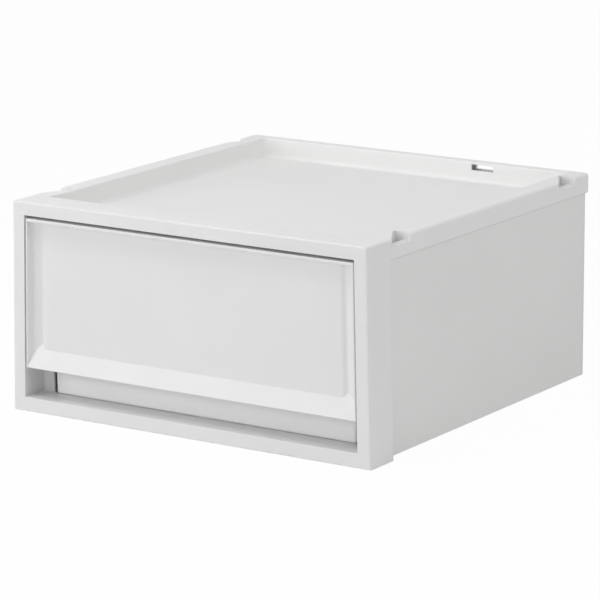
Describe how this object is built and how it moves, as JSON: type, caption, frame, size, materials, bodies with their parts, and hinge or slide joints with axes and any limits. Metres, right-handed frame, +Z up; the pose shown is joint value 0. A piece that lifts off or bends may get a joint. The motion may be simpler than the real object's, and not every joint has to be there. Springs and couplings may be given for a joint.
{
  "type": "stackable drawer box",
  "caption": "Stackable drawer box: moulded carcass with a wide front frame and recessed top, and a full-width pull-out drawer with a dished front.",
  "frame": {"origin": "on the floor, under the middle of the box's overall length and width", "axes": "+Z up, -Y out of the front, in the direction the drawer opens, +X to the right when facing the front"},
  "size_m": [0.398, 0.403, 0.202],
  "materials": {
    "frame": "satin moulded polypropylene",
    "tray": "satin moulded polypropylene",
    "panel": "fine matt grain",
    "tub": "satin moulded polypropylene",
    "drawer_face": "satin moulded polypropylene"
  },
  "bodies": {
    "carcass": {"front_frame": "frame", "top_tray": "tray", "side_panel_left": "panel", "side_panel_right": "panel", "back_panel": "panel", "base_panel": "panel"},
    "drawer": {"drawer_tub": "tub", "drawer_front": "drawer_face"}
  },
  "joints": [
    {"name": "drawer_slide", "type": "slide", "parent": "carcass", "child": "drawer", "axis": [0, -1, 0], "range_m": [0, 0.308]}
  ]
}
